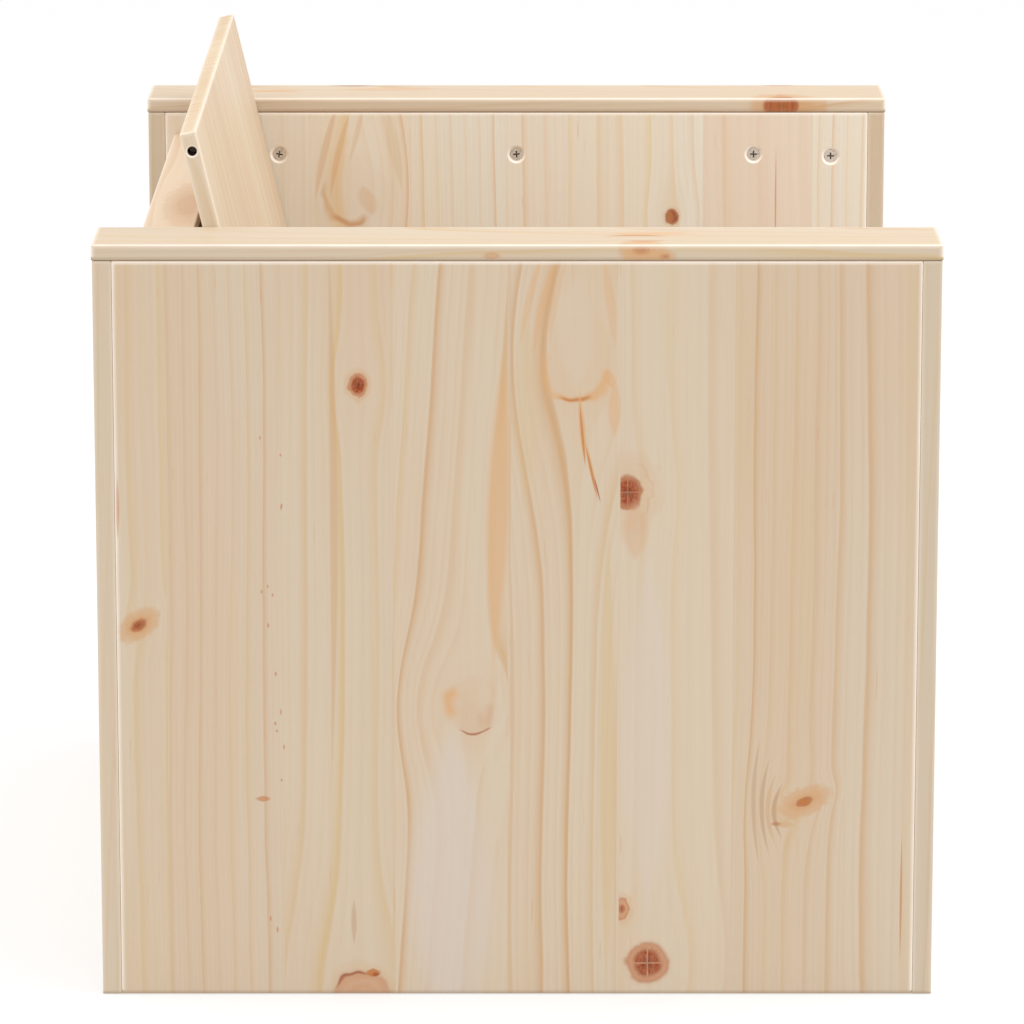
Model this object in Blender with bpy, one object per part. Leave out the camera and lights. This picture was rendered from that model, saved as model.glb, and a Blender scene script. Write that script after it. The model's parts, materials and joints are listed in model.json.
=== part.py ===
"""Wooden toy box: a bench-shaped pine chest with two hollow arms and a hinged seat lid.

Metres, +Z up, front towards -Y. The origin is on the floor, under the middle of the box.
Each arm is a hollow side: an outer and an inner panel on posts and battens, closed by a strip
at the front and at the back and by a rail on top. Between the arms stand a low front wall and
a tall rear wall round a storage bay. The seat lid turns on two steel pins in the inner panels,
and it is drawn open here, leaning back on two stops under the cap of the rear wall.
"""

import math

import bmesh
import bpy
from mathutils import Matrix, Vector

# Driving dimensions
BOX_WIDTH = 0.620
ARM_DEPTH = 0.500
ARM_HEIGHT = 0.458
ARM_WIDTH = 0.060
RAIL_THICKNESS = 0.0095
RAIL_OVERHANG = 0.0006
STRIP_THICKNESS = 0.011
PANEL_THICKNESS = 0.010
POST_DEPTH = 0.036
UPPER_BATTEN_HEIGHT = 0.040
LOWER_BATTEN_HEIGHT = 0.060

WALL_THICKNESS = 0.012
CLEAT = 0.018
FLOOR_CLEARANCE = 0.012
BOTTOM_THICKNESS = 0.008
REAR_WALL_OUTER_Y = 0.2319
CAP_TOP_Z = 0.4336
CAP_DEPTH = 0.032

LID_THICKNESS = 0.010
LID_PIVOT_SPACING = 0.322
LID_EDGE_TO_HOLE = 0.0116
LID_END_CLEARANCE = 0.0015
LID_LEAN = math.radians(13.4)
LID_TOP_HOLE_Y = 0.1932
LID_TOP_HOLE_Z = 0.5034
SEAT_BOARD_GAP = 0.014
SEAT_OVERHANG = 0.0015
LID_REST_GAP = 0.0005

PIN_RADIUS = 0.0025
PIN_HOLE_RADIUS = 0.0029
PIN_IN_LID = 0.014
PIN_IN_PANEL = 0.009
PIN_HOLE_DEPTH = 0.016

SCREW_HEAD_RADIUS = 0.0045
SCREW_SHANK_RADIUS = 0.0020
SCREW_RECESS = 0.0012
SCREW_LENGTH = 0.022
SCREW_HOLE_SLACK = 0.00035
SCREW_HOLE_DEPTH = 0.024
SCREW_ROW_Y = (-0.161, 0.0, 0.161)
SCREW_ROW_Z = 0.4197
POST_SCREW_Y = 0.2133
POST_SCREW_Z = 0.4185
BASE_SCREW_Z = 0.047

STOP_X = 0.150
STOP_WIDTH = 0.024
STOP_HEIGHT = 0.030

JOINT_GAP = 0.0003
EDGE_CHAMFER = 0.0008
CUTTER_OVERRUN = 0.002
ROUND_SEGMENTS = 12
SMOOTH_ANGLE = math.radians(35)

# Derived places
SIDE_OUTER_X = BOX_WIDTH / 2
SIDE_INNER_X = SIDE_OUTER_X - ARM_WIDTH
BODY_HALF_DEPTH = ARM_DEPTH / 2 - RAIL_OVERHANG
BODY_TOP = ARM_HEIGHT - RAIL_THICKNESS - JOINT_GAP
PANEL_HALF_DEPTH = BODY_HALF_DEPTH - STRIP_THICKNESS - JOINT_GAP
POST_INNER_Y = PANEL_HALF_DEPTH - POST_DEPTH
CORE_OUTER_X = SIDE_OUTER_X - PANEL_THICKNESS - JOINT_GAP
CORE_INNER_X = SIDE_INNER_X + PANEL_THICKNESS + JOINT_GAP

LID_UP = Vector((0.0, math.sin(LID_LEAN), math.cos(LID_LEAN)))
PIVOT = Vector((0.0, LID_TOP_HOLE_Y, LID_TOP_HOLE_Z)) - LID_UP * LID_PIVOT_SPACING
LID_HALF_LENGTH = SIDE_INNER_X - LID_END_CLEARANCE
SEAT_TOP = PIVOT.z + LID_THICKNESS / 2
SEAT_UNDERSIDE = PIVOT.z - LID_THICKNESS / 2
LID_FRONT_Y = PIVOT.y - LID_PIVOT_SPACING - LID_EDGE_TO_HOLE

INSIDE_X = SIDE_INNER_X - JOINT_GAP
FRONT_WALL_OUTER_Y = LID_FRONT_Y + SEAT_OVERHANG
FRONT_WALL_INNER_Y = FRONT_WALL_OUTER_Y + WALL_THICKNESS
REAR_WALL_INNER_Y = REAR_WALL_OUTER_Y - WALL_THICKNESS
BOTTOM_Z = FLOOR_CLEARANCE + CLEAT
BOTTOM_TOP = BOTTOM_Z + BOTTOM_THICKNESS
CAP_UNDERSIDE = CAP_TOP_Z - RAIL_THICKNESS


def clear_scene():
    for obj in list(bpy.data.objects):
        bpy.data.objects.remove(obj, do_unlink=True)


def make_material(name, colour, roughness, metallic=0.0):
    material = bpy.data.materials.new(name)
    material.use_nodes = True
    shader = material.node_tree.nodes["Principled BSDF"]
    shader.inputs["Base Color"].default_value = (*colour, 1.0)
    shader.inputs["Roughness"].default_value = roughness
    shader.inputs["Metallic"].default_value = metallic
    return material


def make_materials():
    return {
        "pine_panel": make_material("pine_panel", (0.665, 0.533, 0.397), 0.50),
        "pine_rail": make_material("pine_rail", (0.730, 0.590, 0.440), 0.46),
        "pine_lid": make_material("pine_lid", (0.760, 0.610, 0.450), 0.48),
        "pine_frame": make_material("pine_frame", (0.640, 0.500, 0.350), 0.60),
        "steel": make_material("steel", (0.560, 0.550, 0.530), 0.30, 1.0),
    }


def add_object(name, mesh, material, location=(0.0, 0.0, 0.0), parent=None):
    mesh.materials.append(material)
    obj = bpy.data.objects.new(name, mesh)
    obj.location = location
    obj.parent = parent
    bpy.context.scene.collection.objects.link(obj)
    return obj


def mesh_from(bm, name):
    bmesh.ops.recalc_face_normals(bm, faces=bm.faces)
    mesh = bpy.data.meshes.new(name)
    bm.to_mesh(mesh)
    bm.free()
    return mesh


def chamfer(obj):
    bevel = obj.modifiers.new("edge_chamfer", "BEVEL")
    bevel.width = EDGE_CHAMFER
    bevel.segments = 1
    bevel.limit_method = "ANGLE"


def make_board(name, low, high, material, parent=None):
    """A chamfered board between two corners, with its origin at its middle."""
    low, high = Vector(low), Vector(high)
    bm = bmesh.new()
    bmesh.ops.create_cube(bm, size=1.0)
    bmesh.ops.scale(bm, vec=high - low, verts=bm.verts)
    obj = add_object(name, mesh_from(bm, name), material, (low + high) / 2, parent)
    chamfer(obj)
    return obj


def span(side, near, far):
    """The lowest and highest x of a piece that lies from near to far on one side of the box."""
    return sorted((side * near, side * far))


def make_side_board(name, side, near, far, low_yz, high_yz, material):
    low_x, high_x = span(side, near, far)
    return make_board(name, (low_x, *low_yz), (high_x, *high_yz), material)


def turned_mesh(name, profile):
    """A closed solid turned about X from (x, radius) pairs, one ring of vertices for each."""
    bm = bmesh.new()
    rings = []
    for x, radius in profile:
        angles = (2 * math.pi * step / ROUND_SEGMENTS for step in range(ROUND_SEGMENTS))
        rings.append([bm.verts.new((x, radius * math.cos(a), radius * math.sin(a))) for a in angles])
    for first, second in zip(rings, rings[1:]):
        for step in range(ROUND_SEGMENTS):
            following = (step + 1) % ROUND_SEGMENTS
            bm.faces.new((first[step], first[following], second[following], second[step]))
    bm.faces.new(rings[0])
    bm.faces.new(rings[-1])
    mesh = mesh_from(bm, name)
    mesh.shade_smooth()
    mesh.set_sharp_from_angle(angle=SMOOTH_ANGLE)
    return mesh


def drill(obj, name, profile, location, parent=None):
    """Cuts a turned hole out of a board."""
    cutter = bpy.data.objects.new(name, turned_mesh(name, profile))
    cutter.location = location
    cutter.parent = parent
    cutter.hide_render = True
    cutter.display_type = "WIRE"
    bpy.context.scene.collection.objects.link(cutter)
    hole = obj.modifiers.new(name, "BOOLEAN")
    hole.operation = "DIFFERENCE"
    hole.solver = "EXACT"
    hole.object = cutter


def screw_profile(side):
    """A countersunk screw driven outwards, its depth measured from the inner panel's face."""
    cone = SCREW_HEAD_RADIUS - SCREW_SHANK_RADIUS
    return [
        (side * SCREW_RECESS, SCREW_HEAD_RADIUS),
        (side * (SCREW_RECESS + cone), SCREW_SHANK_RADIUS),
        (side * (SCREW_LENGTH - SCREW_SHANK_RADIUS), SCREW_SHANK_RADIUS),
        (side * SCREW_LENGTH, SCREW_SHANK_RADIUS / 2),
    ]


def countersink_profile(side):
    """The hole for a screw: a 45 degree mouth that starts above the face, then a straight bore."""
    bore = SCREW_SHANK_RADIUS + SCREW_HOLE_SLACK
    mouth = SCREW_HEAD_RADIUS + SCREW_RECESS + SCREW_HOLE_SLACK
    return [
        (-side * CUTTER_OVERRUN, mouth + CUTTER_OVERRUN),
        (side * (mouth - bore), bore),
        (side * SCREW_HOLE_DEPTH, bore),
    ]


def make_screws(side, label, inner_panel, upper_batten, lower_batten, front_post, rear_post, steel):
    """Five screws along the top of an inner panel and three along its foot."""
    places = [(y, SCREW_ROW_Z, upper_batten) for y in SCREW_ROW_Y]
    places += [(-POST_SCREW_Y, POST_SCREW_Z, front_post), (POST_SCREW_Y, POST_SCREW_Z, rear_post)]
    places += [(y, BASE_SCREW_Z, lower_batten) for y in SCREW_ROW_Y]
    names = ["top_screw_front", "top_screw_middle", "top_screw_rear"]
    names += ["post_screw_front", "post_screw_rear"]
    names += ["base_screw_front", "base_screw_middle", "base_screw_rear"]
    for name, (y, z, core) in zip(names, places):
        location = (side * SIDE_INNER_X, y, z)
        for board in (inner_panel, core):
            drill(board, f"hole_{label}_{name}_{board.name}", countersink_profile(side), location)
        add_object(f"{label}_{name}", turned_mesh(name, screw_profile(side)), steel, location)


def make_arm(side, label, materials):
    """One hollow side of the box. side is -1 for the left arm and 1 for the right arm."""
    panel, rail, frame = materials["pine_panel"], materials["pine_rail"], materials["pine_frame"]
    half, top = PANEL_HALF_DEPTH, BODY_TOP
    make_side_board(
        f"{label}_outer_panel", side, SIDE_OUTER_X - PANEL_THICKNESS, SIDE_OUTER_X,
        (-half, 0.0), (half, top), panel,
    )
    inner_panel = make_side_board(
        f"{label}_inner_panel", side, SIDE_INNER_X, SIDE_INNER_X + PANEL_THICKNESS,
        (-half, 0.0), (half, top), panel,
    )
    for place, direction in (("front", -1), ("rear", 1)):
        y_range = sorted((direction * BODY_HALF_DEPTH, direction * (BODY_HALF_DEPTH - STRIP_THICKNESS)))
        make_side_board(
            f"{label}_{place}_strip", side, SIDE_INNER_X, SIDE_OUTER_X,
            (y_range[0], 0.0), (y_range[1], top), rail,
        )
    make_side_board(
        f"{label}_top_rail", side, SIDE_INNER_X, SIDE_OUTER_X,
        (-ARM_DEPTH / 2, ARM_HEIGHT - RAIL_THICKNESS), (ARM_DEPTH / 2, ARM_HEIGHT), rail,
    )
    posts = []
    for place, direction in (("front", -1), ("rear", 1)):
        y_range = sorted((direction * half, direction * POST_INNER_Y))
        posts.append(make_side_board(
            f"{label}_{place}_post", side, CORE_INNER_X, CORE_OUTER_X,
            (y_range[0], 0.0), (y_range[1], top), frame,
        ))
    batten_half = POST_INNER_Y - JOINT_GAP
    upper_batten = make_side_board(
        f"{label}_upper_batten", side, CORE_INNER_X, CORE_OUTER_X,
        (-batten_half, top - UPPER_BATTEN_HEIGHT), (batten_half, top), frame,
    )
    lower_batten = make_side_board(
        f"{label}_lower_batten", side, CORE_INNER_X, CORE_OUTER_X,
        (-batten_half, 0.0), (batten_half, LOWER_BATTEN_HEIGHT), frame,
    )
    make_screws(side, label, inner_panel, upper_batten, lower_batten, *posts, materials["steel"])
    pin_bore = [
        (-side * CUTTER_OVERRUN, PIN_HOLE_RADIUS),
        (side * (PANEL_THICKNESS + CUTTER_OVERRUN), PIN_HOLE_RADIUS),
    ]
    drill(inner_panel, f"hole_{label}_lid_pin", pin_bore, (side * SIDE_INNER_X, PIVOT.y, PIVOT.z))


def make_walls(materials):
    """The front and rear walls of the bay, with the cap along the top of the rear one."""
    panel, rail = materials["pine_panel"], materials["pine_rail"]
    make_board(
        "front_wall", (-INSIDE_X, FRONT_WALL_OUTER_Y, FLOOR_CLEARANCE),
        (INSIDE_X, FRONT_WALL_INNER_Y, SEAT_UNDERSIDE - LID_REST_GAP), panel,
    )
    make_board(
        "rear_wall", (-INSIDE_X, REAR_WALL_INNER_Y, FLOOR_CLEARANCE),
        (INSIDE_X, REAR_WALL_OUTER_Y, CAP_UNDERSIDE - JOINT_GAP), panel,
    )
    make_board(
        "rear_cap", (-INSIDE_X, REAR_WALL_OUTER_Y - CAP_DEPTH, CAP_UNDERSIDE),
        (INSIDE_X, REAR_WALL_OUTER_Y, CAP_TOP_Z), rail,
    )


def make_bottom(materials):
    """The bottom of the bay and the cleats that carry it round its four edges."""
    frame = materials["pine_frame"]
    front = FRONT_WALL_INNER_Y + JOINT_GAP
    rear = REAR_WALL_INNER_Y - JOINT_GAP
    make_board(
        "bottom_panel", (-INSIDE_X, front, BOTTOM_Z), (INSIDE_X, rear, BOTTOM_TOP),
        materials["pine_panel"],
    )
    low, high = FLOOR_CLEARANCE, BOTTOM_Z - JOINT_GAP
    make_board("bottom_cleat_front", (-INSIDE_X, front, low), (INSIDE_X, front + CLEAT, high), frame)
    make_board("bottom_cleat_rear", (-INSIDE_X, rear - CLEAT, low), (INSIDE_X, rear, high), frame)
    between_front = front + CLEAT + JOINT_GAP
    between_rear = rear - CLEAT - JOINT_GAP
    for label, side in (("left", -1), ("right", 1)):
        make_side_board(
            f"bottom_cleat_{label}", side, INSIDE_X - CLEAT, INSIDE_X,
            (between_front, low), (between_rear, high), frame,
        )


def make_seat_frame(materials):
    """The fixed board behind the lid, the cleats in the corners, and the stops that the lid leans on."""
    frame = materials["pine_frame"]
    front = FRONT_WALL_INNER_Y + JOINT_GAP
    rear = REAR_WALL_INNER_Y - JOINT_GAP
    foot = BOTTOM_TOP + JOINT_GAP
    make_board(
        "rear_seat_board", (-INSIDE_X, PIVOT.y + SEAT_BOARD_GAP, SEAT_UNDERSIDE),
        (INSIDE_X, rear, SEAT_TOP), materials["pine_lid"],
    )
    cleat_top = SEAT_UNDERSIDE - JOINT_GAP
    cleat_foot = cleat_top - CLEAT
    make_board("rear_seat_cleat", (-INSIDE_X, rear - CLEAT, cleat_foot), (INSIDE_X, rear, cleat_top), frame)
    for label, side in (("left", -1), ("right", 1)):
        make_side_board(
            f"corner_cleat_front_{label}", side, INSIDE_X - CLEAT, INSIDE_X,
            (front, foot), (front + CLEAT, SEAT_UNDERSIDE - LID_REST_GAP), frame,
        )
        make_side_board(
            f"corner_cleat_rear_{label}", side, INSIDE_X - CLEAT, INSIDE_X,
            (rear - CLEAT, foot), (rear, cleat_foot - JOINT_GAP), frame,
        )
        make_lid_stop(f"lid_stop_{label}", side * STOP_X, materials["pine_rail"])


def make_lid_stop(name, x, material):
    """A block under the cap, its front face sloped to the back of the open lid."""
    top = CAP_UNDERSIDE - JOINT_GAP
    rear = REAR_WALL_INNER_Y - JOINT_GAP
    across = LID_THICKNESS / 2 + LID_REST_GAP
    face = PIVOT.y + across / math.cos(LID_LEAN)

    def lid_back_y(z):
        return face + (z - PIVOT.z) * math.tan(LID_LEAN)

    foot = top - STOP_HEIGHT
    outline = [(lid_back_y(foot), foot), (rear, foot), (rear, top), (lid_back_y(top), top)]
    bm = bmesh.new()
    corners = [bm.verts.new((-STOP_WIDTH / 2, y, z)) for y, z in outline]
    side_face = bm.faces.new(corners)
    grown = bmesh.ops.extrude_face_region(bm, geom=[side_face])
    moved = [item for item in grown["geom"] if isinstance(item, bmesh.types.BMVert)]
    bmesh.ops.translate(bm, vec=(STOP_WIDTH, 0.0, 0.0), verts=moved)
    chamfer(add_object(name, mesh_from(bm, name), material, (x, 0.0, 0.0)))


def make_lid(materials):
    """The lid and its two pins, parented to an empty on the hinge axis that leans with the lid."""
    hinge = bpy.data.objects.new("lid_hinge", None)
    hinge.matrix_world = Matrix.Translation(PIVOT) @ Matrix.Rotation(-LID_LEAN, 4, "X")
    bpy.context.scene.collection.objects.link(hinge)
    top = LID_PIVOT_SPACING + LID_EDGE_TO_HOLE
    lid = make_board(
        "lid_panel", (-LID_HALF_LENGTH, -LID_THICKNESS / 2, -LID_EDGE_TO_HOLE),
        (LID_HALF_LENGTH, LID_THICKNESS / 2, top), materials["pine_lid"], hinge,
    )
    for label, side in (("left", -1), ("right", 1)):
        bore = [
            (-side * PIN_HOLE_DEPTH, PIN_HOLE_RADIUS),
            (side * CUTTER_OVERRUN, PIN_HOLE_RADIUS),
        ]
        for place, up in (("pin", 0.0), ("spare", LID_PIVOT_SPACING)):
            drill(lid, f"hole_lid_{place}_{label}", bore, (side * LID_HALF_LENGTH, 0.0, up), hinge)
        pin = [
            (-side * (PIN_IN_LID + LID_END_CLEARANCE), PIN_RADIUS),
            (side * PIN_IN_PANEL, PIN_RADIUS),
        ]
        name = f"lid_pin_{label}"
        add_object(name, turned_mesh(name, pin), materials["steel"], (side * SIDE_INNER_X, 0.0, 0.0), hinge)


def main():
    clear_scene()
    materials = make_materials()
    for label, side in (("left", -1), ("right", 1)):
        make_arm(side, label, materials)
    make_walls(materials)
    make_bottom(materials)
    make_seat_frame(materials)
    make_lid(materials)


main()
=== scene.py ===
"""Looks of the wooden toy box: eased pine boards with drawn grain and knots, cross-head screws, steel pins,
a white studio floor and a camera that looks down a little onto the left arm.

Every board is rebuilt on the place of its CAD node with rounded edges and, where it is drilled, real holes.
Its mesh carries two attributes that its material reads:
    wood  (across, along, depth) of the grain, in metres, in the board's own directions
    wear_and_painted_light  (edge, end, cut): 1 on an eased edge, lightened as wear and as a painted
      highlight, or -1 on a lower edge that gets painted shade, 1 on an end-grain face, and 1 in the mouth
      of a drilled hole, lightened as fresh wood and as a painted highlight, or -1 down its bore, which gets
      painted shade
"""

import json
import math
import random
from collections import namedtuple

import bmesh
import bpy
import numpy as np
from mathutils import Matrix, Vector


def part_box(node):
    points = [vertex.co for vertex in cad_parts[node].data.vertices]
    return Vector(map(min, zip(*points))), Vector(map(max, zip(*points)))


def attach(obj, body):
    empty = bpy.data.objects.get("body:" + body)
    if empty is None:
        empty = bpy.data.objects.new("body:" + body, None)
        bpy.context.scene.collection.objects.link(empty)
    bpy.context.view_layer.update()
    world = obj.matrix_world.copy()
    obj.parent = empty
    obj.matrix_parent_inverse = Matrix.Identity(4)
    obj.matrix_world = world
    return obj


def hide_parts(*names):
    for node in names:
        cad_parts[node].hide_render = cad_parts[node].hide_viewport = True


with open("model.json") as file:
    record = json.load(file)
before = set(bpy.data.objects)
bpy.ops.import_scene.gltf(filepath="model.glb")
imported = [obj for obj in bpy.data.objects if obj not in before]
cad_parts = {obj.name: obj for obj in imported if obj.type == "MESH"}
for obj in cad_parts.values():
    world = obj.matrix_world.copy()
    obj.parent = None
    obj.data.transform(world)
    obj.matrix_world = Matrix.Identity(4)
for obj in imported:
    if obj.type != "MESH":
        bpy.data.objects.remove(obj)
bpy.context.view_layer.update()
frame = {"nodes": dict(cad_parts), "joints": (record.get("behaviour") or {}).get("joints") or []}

# Directions
X, Y, Z = 0, 1, 2

# Board shape, in metres
EDGE_RADIUS = 0.0009
STRIP_EDGE_RADIUS = 0.0004
RAIL_EDGE_RADIUS = 0.0012
STOP_EDGE_RADIUS = 0.0004
EDGE_SUPPORT = 0.0018
EDGE_GLOW = 0.0002
GRID_STEP = 0.024
HAND_SANDING = 0.00006
OVERSIZE = 0.00015
FOOT_HEIGHT = 0.0004
SHARP_ANGLE = math.radians(32)
STAVE_WIDTH = 0.067

# Holes and fasteners, in metres
HOLE_SEGMENTS = 40
HOLE_OVERRUN = 0.002
SCREW_HEAD_RADIUS = 0.0045
SCREW_SHANK_RADIUS = 0.002
SCREW_RECESS = 0.0012
SCREW_LENGTH = 0.022
SCREW_POINT = 0.004
SCREW_BEVEL = 0.00025
SCREW_HOLE_SLACK = 0.00035
SCREW_HOLE_DEPTH = 0.024
SCREW_HOLE_MARK = 0.0066
RECESS_ARM = 0.0025
RECESS_WIDTH = 0.001
RECESS_DEPTH = 0.0022
PIN_RADIUS = 0.0025
PIN_BEVEL = 0.0004
PIN_HOLE_RADIUS = 0.0029
PIN_HOLE_MOUTH = 0.0009
LID_PIN_HOLE_DEPTH = 0.016
ARM_PIN_HOLE_DEPTH = 0.014
PIN_HOLE_MARK = 0.004
FASTENER_SEGMENTS = 32

# How far a face's normal lies along a hole's axis: on the board's own faces, and in the hole's mouth
FLAT_TILT = 0.9
MOUTH_TILT = 0.3

# Hinge of the lid
hinge = frame["joints"][0]
PIVOT = Vector(hinge["pos_m"])
LID_LEAN = math.radians(hinge["range_deg"][1] - 90.0)
LID_FRAME = Matrix.Translation(PIVOT) @ Matrix.Rotation(-LID_LEAN, 4, "X")

# Pine colours, linear
PALE = (0.645, 0.535, 0.405)
# Inner panels: painted paler and less warm, as painted light for the light that falls on them between the
# arms
INNER_PALE = (0.64, 0.595, 0.51)
LID_PALE = (0.69, 0.59, 0.45)
# Rear cap: painted paler, as painted light where the lid shades it
CAP_PALE = (0.68, 0.56, 0.43)
BATTEN_PALE = (0.69, 0.55, 0.4)
WARM = (0.64, 0.485, 0.325)
PINK = (0.64, 0.475, 0.35)
LATE = (0.575, 0.35, 0.18)
LATE_YELLOW = (0.63, 0.455, 0.235)
HALO = (0.61, 0.35, 0.175)
KNOT_BODY = (0.55, 0.25, 0.12)
KNOT_RIM = (0.36, 0.105, 0.035)
KNOT_CORE = (0.3, 0.045, 0.005)
# Dark red of a knot's middle; also painted shade down bores and in screw recesses
DARK = (0.06, 0.012, 0.006)
RESIN = (0.5, 0.18, 0.045)
AMBER = (0.665, 0.39, 0.19)
SMUDGE = (0.45, 0.26, 0.145)
LILAC = (0.64, 0.55, 0.47)
# Pale colour for eased edges and hole mouths: fresh wood, and also a painted highlight
FRESH_WOOD_AND_HIGHLIGHT = (0.95, 0.85, 0.745)
# Painted shade for the lower edges of boards on the floor and of the top rails
FOOT_SHADE = (0.27, 0.175, 0.115)
CRACK_PALE = (0.68, 0.42, 0.27)

# Studio
FLOOR_RADIUS = 14.0
FLOOR_DROP = 0.0006
FLOOR_GLOW = 0.49
GREY = (0.52, 0.52, 0.52, 1.0)
WHITE = (1.0, 1.0, 1.0, 1.0)
WORLD_STRENGTH = 0.95
BOX_MIDDLE = (0.0, 0.0, 0.25)
LIGHT_SIZE = 1.2
CAMERA_LENS = 210.3
CAMERA_PLACE = (-3.764, 0.003, 1.0791)
CAMERA_TILT = math.radians(12.75)


# ---- node helpers


class Value:
    """A socket that can stand in a sum. Each step of the sum adds a math node to the socket's tree."""

    def __init__(self, socket):
        self.socket = socket

    def __add__(self, other):
        return calc("ADD", self, other)

    def __sub__(self, other):
        return calc("SUBTRACT", self, other)

    def __rsub__(self, other):
        return calc("SUBTRACT", other, self)

    def __mul__(self, other):
        return calc("MULTIPLY", self, other)

    def __truediv__(self, other):
        return calc("DIVIDE", self, other)


def put(socket, value):
    """Links a value to a socket, or makes it the socket's own."""
    if isinstance(value, Value):
        socket.id_data.links.new(value.socket, socket)
    elif hasattr(socket.default_value, "__len__") and len(socket.default_value) == 4:
        socket.default_value = (*value[:3], 1.0)
    else:
        socket.default_value = value


def add_node(kind, values, **settings):
    """A new node in the tree that its values come from. The keys of values are input names or indices."""
    tree = next(value.socket.id_data for value in values.values() if isinstance(value, Value))
    node = tree.nodes.new(kind)
    for name, setting in settings.items():
        setattr(node, name, setting)
    for key, value in values.items():
        put(node.inputs[key], value)
    return node


def calc(operation, *values, clamp=False):
    node = add_node("ShaderNodeMath", dict(enumerate(values)), operation=operation, use_clamp=clamp)
    return Value(node.outputs[0])


def times_plus(value, rate, start):
    """value * rate + start, in one node."""
    return calc("MULTIPLY_ADD", value, rate, start)


def clamped(value, rate):
    """value * rate, kept between 0 and 1."""
    return calc("MULTIPLY", value, rate, clamp=True)


def vector(*parts):
    return Value(add_node("ShaderNodeCombineXYZ", dict(enumerate(parts))).outputs[0])


def parts_of(value):
    return [Value(socket) for socket in add_node("ShaderNodeSeparateXYZ", {0: value}).outputs]


def noise(coordinates, detail, roughness=0.5):
    """Smooth noise from 0 to 1, with features about one unit wide."""
    values = {"Vector": coordinates, "Scale": 1.0, "Detail": detail, "Roughness": roughness}
    return Value(add_node("ShaderNodeTexNoise", values, noise_dimensions="3D").outputs[0])


def ramp(factor, stops, interpolation="EASE"):
    """A colour ramp from (place, value) stops. A value is a number or three of them."""
    node = add_node("ShaderNodeValToRGB", {0: factor})
    colours = node.color_ramp
    colours.interpolation = interpolation
    while len(colours.elements) < len(stops):
        colours.elements.new(1.0)
    for element, (place, value) in zip(colours.elements, stops):
        element.position = place
        element.color = (*value, 1.0) if hasattr(value, "__len__") else (value, value, value, 1.0)
    return Value(node.outputs[0])


def smooth(value, low, high):
    """0 below low and 1 above high, with a smooth turn between. high may be the smaller."""
    ends = (low, high, 0.0, 1.0) if low < high else (high, low, 1.0, 0.0)
    values = dict(zip(("Value", "From Min", "From Max", "To Min", "To Max"), (value, *ends)))
    return Value(add_node("ShaderNodeMapRange", values, interpolation_type="SMOOTHSTEP").outputs[0])


def mix(factor, first, second, blend="MIX"):
    values = {0: factor, 6: first, 7: second}
    node = add_node("ShaderNodeMix", values, data_type="RGBA", blend_type=blend, clamp_factor=True)
    return Value(node.outputs[2])


def new_material(name):
    material = bpy.data.materials.new(name)
    material.use_nodes = True
    return material, material.node_tree.nodes["Principled BSDF"]


def from_mesh(material, name):
    """The three parts of a mesh attribute."""
    node = material.node_tree.nodes.new("ShaderNodeAttribute")
    node.attribute_name = name
    return parts_of(Value(node.outputs["Vector"]))


def from_object(material):
    """The three object coordinates."""
    node = material.node_tree.nodes.new("ShaderNodeTexCoord")
    return parts_of(Value(node.outputs["Object"]))


def add_bump(shader, height, strength, distance):
    bump = add_node("ShaderNodeBump", {"Strength": strength, "Distance": distance, "Height": height})
    put(shader.inputs["Normal"], Value(bump.outputs[0]))


# ---- node groups

KNOT_SHAPE = ("U", "V", "T", "Thick", "Radius", "Stretch", "Lean", "Pull", "Flow")
KNOT_PAINT = ("Core", "Share", "Body", "Rim", "Halo", "Reach", "Cracks")
KNOT_PLACE = ("Distance", "DU", "DV")


def new_group(name, inputs, outputs):
    """A shader group with float sockets, or colour sockets for names that end in Colour."""
    group = bpy.data.node_groups.new(name, "ShaderNodeTree")
    for names, way in ((inputs, "INPUT"), (outputs, "OUTPUT")):
        for socket in names:
            kind = "NodeSocketColor" if socket.endswith("Colour") else "NodeSocketFloat"
            group.interface.new_socket(socket, in_out=way, socket_type=kind)
    entry = group.nodes.new("NodeGroupInput")
    leave = group.nodes.new("NodeGroupOutput")
    return group, {socket.name: Value(socket) for socket in entry.outputs}, leave.inputs


def use_group(group, values):
    node = add_node("ShaderNodeGroup", values, node_tree=group)
    return {socket.name: Value(socket) for socket in node.outputs}


def make_knot_pull_group():
    """How far a knot pushes the grain lines aside, and the distance from it in knot radii."""
    names = ("Across", "Along", "Depth", *KNOT_SHAPE, "Low", "High")
    group, given, result = new_group("knot_pull", names, ("Shift", *KNOT_PLACE))
    dv = given["Along"] - given["V"]
    du = given["Across"] - given["U"] - dv * given["Lean"]
    in_u = du / given["Radius"]
    in_v = dv / (given["Radius"] * given["Stretch"])
    in_t = (given["Depth"] - given["T"]) / given["Thick"]
    squared = times_plus(in_t, in_t, in_u * in_u + in_v * in_v)
    rough = [given[name] * 1.3 / given["Radius"] for name in ("Across", "Along")]
    wobble = times_plus(noise(vector(*rough, given["U"]), 1.0), 0.44, 0.78)
    above = calc("GREATER_THAN", given["Across"], given["Low"])
    inside = above * calc("LESS_THAN", given["Across"], given["High"])
    reach = in_u * in_u / 9.0 + in_v * in_v / given["Flow"]
    fade = calc("EXPONENT", reach * -1.0)
    put(result["Shift"], du * given["Pull"] * fade * -1.0 * inside)
    put(result["Distance"], calc("SQRT", squared) * wobble + (1.0 - inside) * 100.0)
    put(result["DU"], in_u)
    put(result["DV"], in_v)
    return group


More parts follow.
